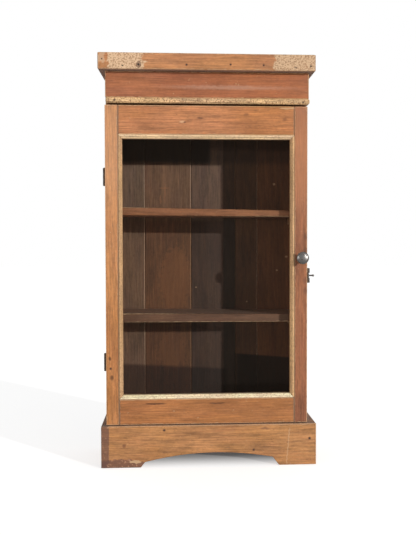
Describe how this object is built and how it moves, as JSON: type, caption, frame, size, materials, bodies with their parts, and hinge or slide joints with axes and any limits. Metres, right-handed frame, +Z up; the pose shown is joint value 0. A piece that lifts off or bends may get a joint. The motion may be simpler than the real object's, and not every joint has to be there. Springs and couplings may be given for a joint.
{
  "type": "small glazed bookcase",
  "caption": "Small shallow wooden bookcase with a glazed door on side hinges, two shelves, a planked back, an overhanging cornice and an arched plinth.",
  "frame": {"origin": "on the floor, under the middle of the overall box", "axes": "+Z up, -Y is the front that the door opens to, -X is the hinge side"},
  "size_m": [0.4068, 0.169, 0.77],
  "materials": {
    "stained_wood": "satin, worn reddish-brown stain",
    "inner_wood": "matte, dark and dusty",
    "bare_pine": "matte, bare and rubbed",
    "dark_iron": "dark, slightly polished by handling",
    "window_glass": "clear"
  },
  "bodies": {
    "cabinet": {"side_panel_left": "stained_wood", "side_panel_right": "stained_wood", "upper_shelf": "stained_wood", "upper_shelf_bearer_left": "stained_wood", "upper_shelf_bearer_right": "stained_wood", "lower_shelf": "stained_wood", "lower_shelf_bearer_left": "stained_wood", "lower_shelf_bearer_right": "stained_wood", "frieze_board": "stained_wood", "cornice_front": "stained_wood", "cornice_left": "stained_wood", "cornice_right": "stained_wood", "cornice_back_rail": "stained_wood", "cornice_top_panel": "stained_wood", "plinth_front": "stained_wood", "plinth_left": "stained_wood", "plinth_right": "stained_wood", "plinth_back": "stained_wood", "top_board": "inner_wood", "bottom_board": "inner_wood", "back_plank_1": "inner_wood", "back_plank_2": "inner_wood", "back_plank_3": "inner_wood", "back_plank_4": "inner_wood", "back_plank_5": "inner_wood", "neck_strip": "bare_pine", "upper_hinge_carcase_leaf": "dark_iron", "upper_hinge_pin": "dark_iron", "lower_hinge_carcase_leaf": "dark_iron", "lower_hinge_pin": "dark_iron", "upper_carcase_screw_1": "dark_iron", "upper_carcase_screw_2": "dark_iron", "lower_carcase_screw_1": "dark_iron", "lower_carcase_screw_2": "dark_iron", "bolt_keeper": "dark_iron"},
    "door": {"door_stile_left": "stained_wood", "door_stile_right": "stained_wood", "door_rail_top": "stained_wood", "door_rail_bottom": "stained_wood", "glass_pane": "window_glass", "knob": "dark_iron", "knob_rose": "dark_iron", "knob_nut": "dark_iron", "bolt_housing": "dark_iron", "glazing_strip_top": "stained_wood", "glazing_strip_bottom": "stained_wood", "glazing_strip_left": "stained_wood", "glazing_strip_right": "stained_wood", "glazing_bead_top": "bare_pine", "glazing_bead_bottom": "bare_pine", "glazing_bead_left": "bare_pine", "glazing_bead_right": "bare_pine", "upper_hinge_door_leaf": "dark_iron", "lower_hinge_door_leaf": "dark_iron", "upper_door_screw_1": "dark_iron", "upper_door_screw_2": "dark_iron", "lower_door_screw_1": "dark_iron", "lower_door_screw_2": "dark_iron"},
    "bolt": {"slide_bolt": "dark_iron"}
  },
  "joints": [
    {"name": "door_hinge", "type": "hinge", "parent": "cabinet", "child": "door", "pos_m": [-0.1951, -0.0412, 0.39], "axis": [0, 0, -1], "range_deg": [0, 170]},
    {"name": "bolt_slide", "type": "slide", "parent": "door", "child": "bolt", "axis": [0, 1, 0], "range_m": [0, 0.012]}
  ]
}
